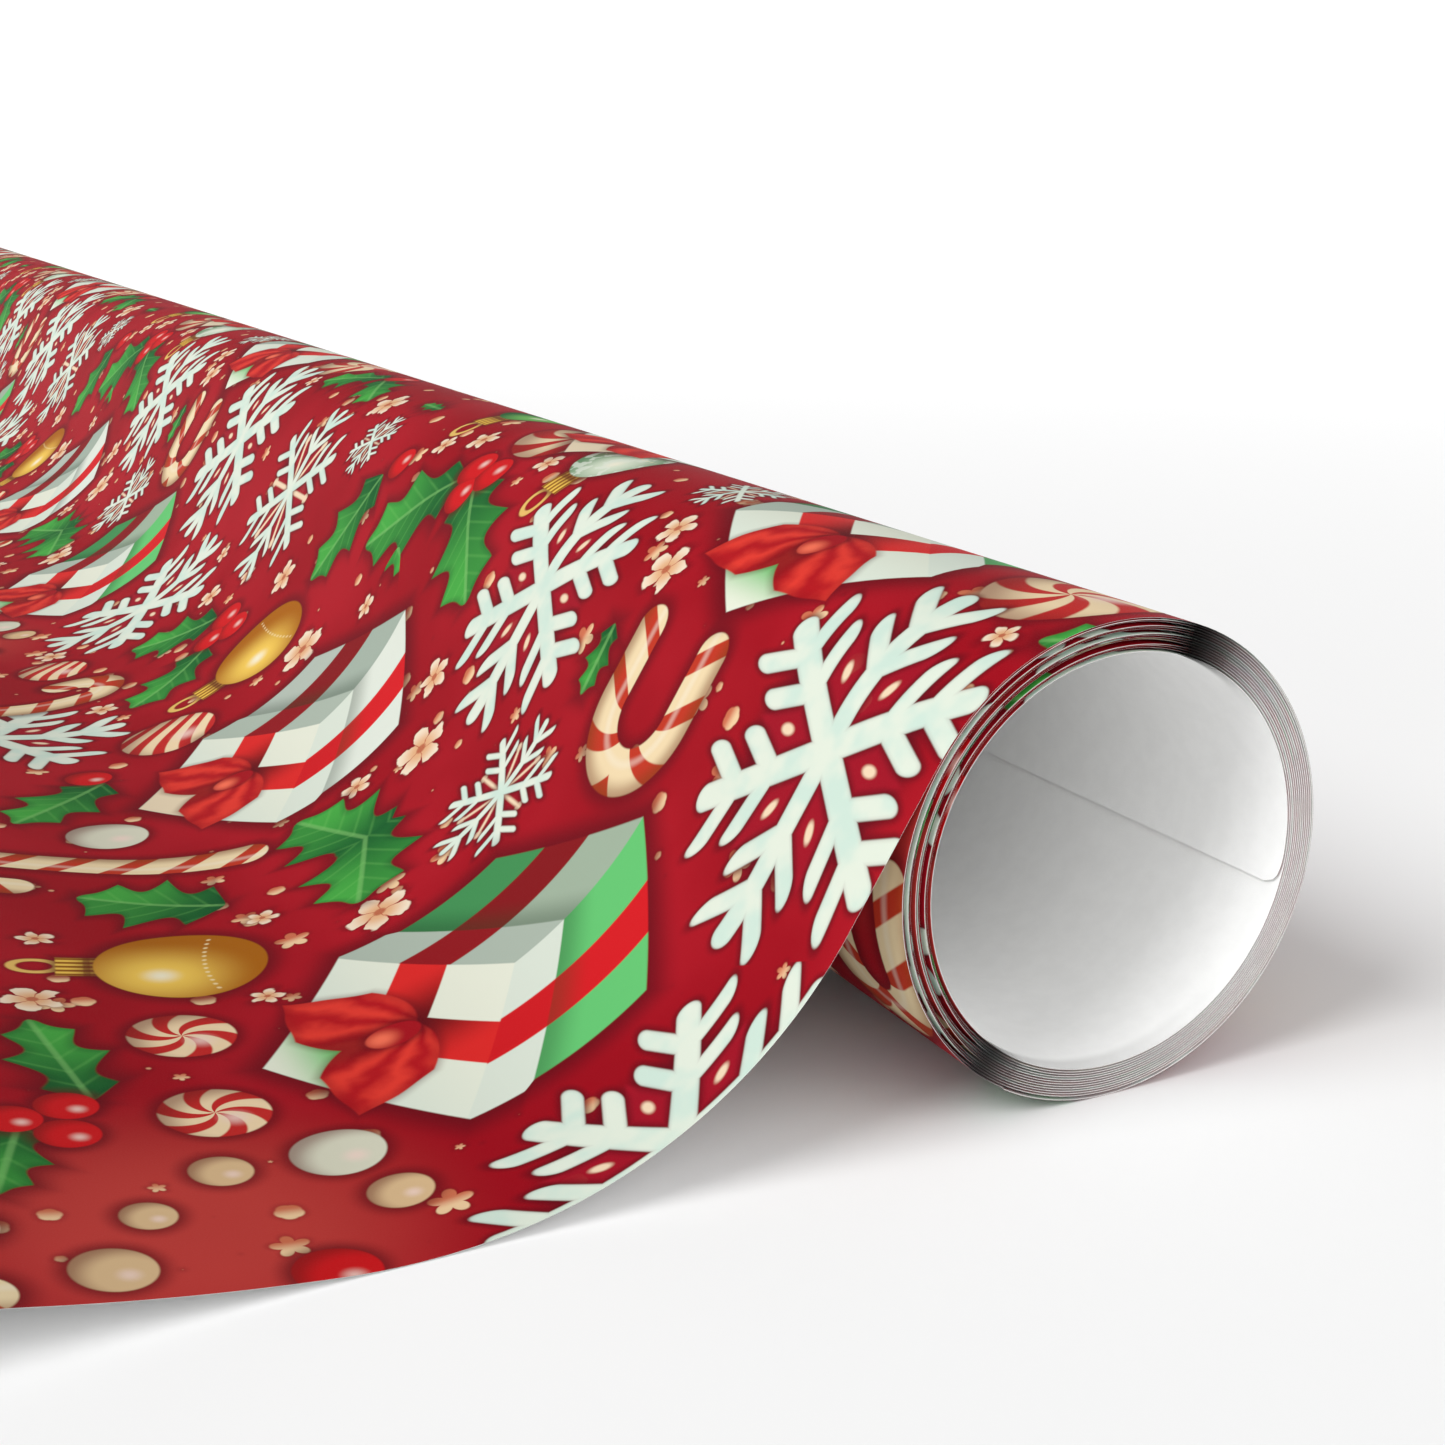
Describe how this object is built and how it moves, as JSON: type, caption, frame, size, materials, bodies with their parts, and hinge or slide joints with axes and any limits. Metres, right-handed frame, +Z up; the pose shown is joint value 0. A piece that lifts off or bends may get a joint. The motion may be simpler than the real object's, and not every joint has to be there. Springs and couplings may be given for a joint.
{
  "type": "wrapping paper roll",
  "caption": "Coreless roll of patterned gift wrapping paper lying on its side, its loose end falling off the roll and running out over the table.",
  "frame": {"origin": "on the roll's axis at mid-length", "axes": "+X along the roll's axis towards the end that the picture shows, +Z up from the table, the loose end towards -Y"},
  "size_m": [0.762, 0.1687, 0.043],
  "materials": {
    "printed_paper": "satin"
  },
  "bodies": {
    "outer_lap": {"outer_lap": "printed_paper"},
    "sheet_fall": {"sheet_fall": "printed_paper"},
    "sheet_sweep_upper": {"sheet_sweep_upper": "printed_paper"},
    "sheet_sweep_lower": {"sheet_sweep_lower": "printed_paper"},
    "sheet_landing": {"sheet_landing": "printed_paper"},
    "sheet_rise": {"sheet_rise": "printed_paper"},
    "sheet_crest": {"sheet_crest": "printed_paper"},
    "sheet_edge": {"sheet_edge": "printed_paper"},
    "turn_13": {"turn_13": "printed_paper"},
    "turn_12": {"turn_12": "printed_paper"},
    "turn_11": {"turn_11": "printed_paper"},
    "turn_10": {"turn_10": "printed_paper"},
    "turn_09": {"turn_09": "printed_paper"},
    "turn_08": {"turn_08": "printed_paper"},
    "turn_07": {"turn_07": "printed_paper"},
    "turn_06": {"turn_06": "printed_paper"},
    "turn_05": {"turn_05": "printed_paper"},
    "turn_04": {"turn_04": "printed_paper"},
    "turn_03": {"turn_03": "printed_paper"},
    "turn_02": {"turn_02": "printed_paper"},
    "turn_01": {"turn_01": "printed_paper"},
    "inner_end": {"inner_end": "printed_paper"}
  },
  "joints": [
    {"name": "sheet_lift_1", "type": "hinge", "parent": "outer_lap", "child": "sheet_fall", "pos_m": [0, -0.01827, 0.01133], "axis": [-1, 0, 0], "range_deg": [0, 12]},
    {"name": "sheet_lift_2", "type": "hinge", "parent": "sheet_fall", "child": "sheet_sweep_upper", "pos_m": [0, -0.02621, -0.00147], "axis": [-1, 0, 0], "range_deg": [0, 12]},
    {"name": "sheet_lift_3", "type": "hinge", "parent": "sheet_sweep_upper", "child": "sheet_sweep_lower", "pos_m": [0, -0.03965, -0.01496], "axis": [-1, 0, 0], "range_deg": [0, 12]},
    {"name": "sheet_lift_4", "type": "hinge", "parent": "sheet_sweep_lower", "child": "sheet_landing", "pos_m": [0, -0.05751, -0.02111], "axis": [-1, 0, 0], "range_deg": [0, 12]},
    {"name": "sheet_lift_5", "type": "hinge", "parent": "sheet_landing", "child": "sheet_rise", "pos_m": [0, -0.0683, -0.02111], "axis": [-1, 0, 0], "range_deg": [0, 12]},
    {"name": "sheet_lift_6", "type": "hinge", "parent": "sheet_rise", "child": "sheet_crest", "pos_m": [0, -0.09012, -0.01755], "axis": [-1, 0, 0], "range_deg": [0, 12]},
    {"name": "sheet_lift_7", "type": "hinge", "parent": "sheet_crest", "child": "sheet_edge", "pos_m": [0, -0.11922, -0.01539], "axis": [-1, 0, 0], "range_deg": [0, 12]},
    {"name": "coil_spin", "type": "hinge", "parent": "outer_lap", "child": "turn_13", "pos_m": [0, 0, 0], "axis": [1, 0, 0], "continuous": true},
    {"name": "telescope_12", "type": "slide", "parent": "turn_13", "child": "turn_12", "axis": [1, 0, 0], "range_m": [-0.004, 0.004]},
    {"name": "telescope_11", "type": "slide", "parent": "turn_12", "child": "turn_11", "axis": [1, 0, 0], "range_m": [-0.004, 0.004]},
    {"name": "telescope_10", "type": "slide", "parent": "turn_11", "child": "turn_10", "axis": [1, 0, 0], "range_m": [-0.004, 0.004]},
    {"name": "telescope_09", "type": "slide", "parent": "turn_10", "child": "turn_09", "axis": [1, 0, 0], "range_m": [-0.004, 0.004]},
    {"name": "telescope_08", "type": "slide", "parent": "turn_09", "child": "turn_08", "axis": [1, 0, 0], "range_m": [-0.004, 0.004]},
    {"name": "telescope_07", "type": "slide", "parent": "turn_08", "child": "turn_07", "axis": [1, 0, 0], "range_m": [-0.004, 0.004]},
    {"name": "telescope_06", "type": "slide", "parent": "turn_07", "child": "turn_06", "axis": [1, 0, 0], "range_m": [-0.004, 0.004]},
    {"name": "telescope_05", "type": "slide", "parent": "turn_06", "child": "turn_05", "axis": [1, 0, 0], "range_m": [-0.004, 0.004]},
    {"name": "telescope_04", "type": "slide", "parent": "turn_05", "child": "turn_04", "axis": [1, 0, 0], "range_m": [-0.004, 0.004]},
    {"name": "telescope_03", "type": "slide", "parent": "turn_04", "child": "turn_03", "axis": [1, 0, 0], "range_m": [-0.004, 0.004]},
    {"name": "telescope_02", "type": "slide", "parent": "turn_03", "child": "turn_02", "axis": [1, 0, 0], "range_m": [-0.004, 0.004]},
    {"name": "telescope_01", "type": "slide", "parent": "turn_02", "child": "turn_01", "axis": [1, 0, 0], "range_m": [-0.004, 0.004]},
    {"name": "inner_end_curl", "type": "hinge", "parent": "turn_01", "child": "inner_end", "pos_m": [0, 0.01602, 0.00932], "axis": [-1, 0, 0], "range_deg": [0, 35], "stiffness_Nm_per_rad": 0.0005, "springref_deg": -17.19}
  ],
  "couplings": [
    {"joint": "sheet_lift_2", "follows": "sheet_lift_1", "ratio": 1},
    {"joint": "sheet_lift_3", "follows": "sheet_lift_1", "ratio": 1},
    {"joint": "sheet_lift_4", "follows": "sheet_lift_1", "ratio": 1},
    {"joint": "sheet_lift_5", "follows": "sheet_lift_1", "ratio": 1},
    {"joint": "sheet_lift_6", "follows": "sheet_lift_1", "ratio": 1},
    {"joint": "sheet_lift_7", "follows": "sheet_lift_1", "ratio": 1},
    {"joint": "telescope_11", "follows": "telescope_12", "ratio": 1},
    {"joint": "telescope_10", "follows": "telescope_12", "ratio": 1},
    {"joint": "telescope_09", "follows": "telescope_12", "ratio": 1},
    {"joint": "telescope_08", "follows": "telescope_12", "ratio": 1},
    {"joint": "telescope_07", "follows": "telescope_12", "ratio": 1},
    {"joint": "telescope_06", "follows": "telescope_12", "ratio": 1},
    {"joint": "telescope_05", "follows": "telescope_12", "ratio": 1},
    {"joint": "telescope_04", "follows": "telescope_12", "ratio": 1},
    {"joint": "telescope_03", "follows": "telescope_12", "ratio": 1},
    {"joint": "telescope_02", "follows": "telescope_12", "ratio": 1},
    {"joint": "telescope_01", "follows": "telescope_12", "ratio": 1}
  ]
}
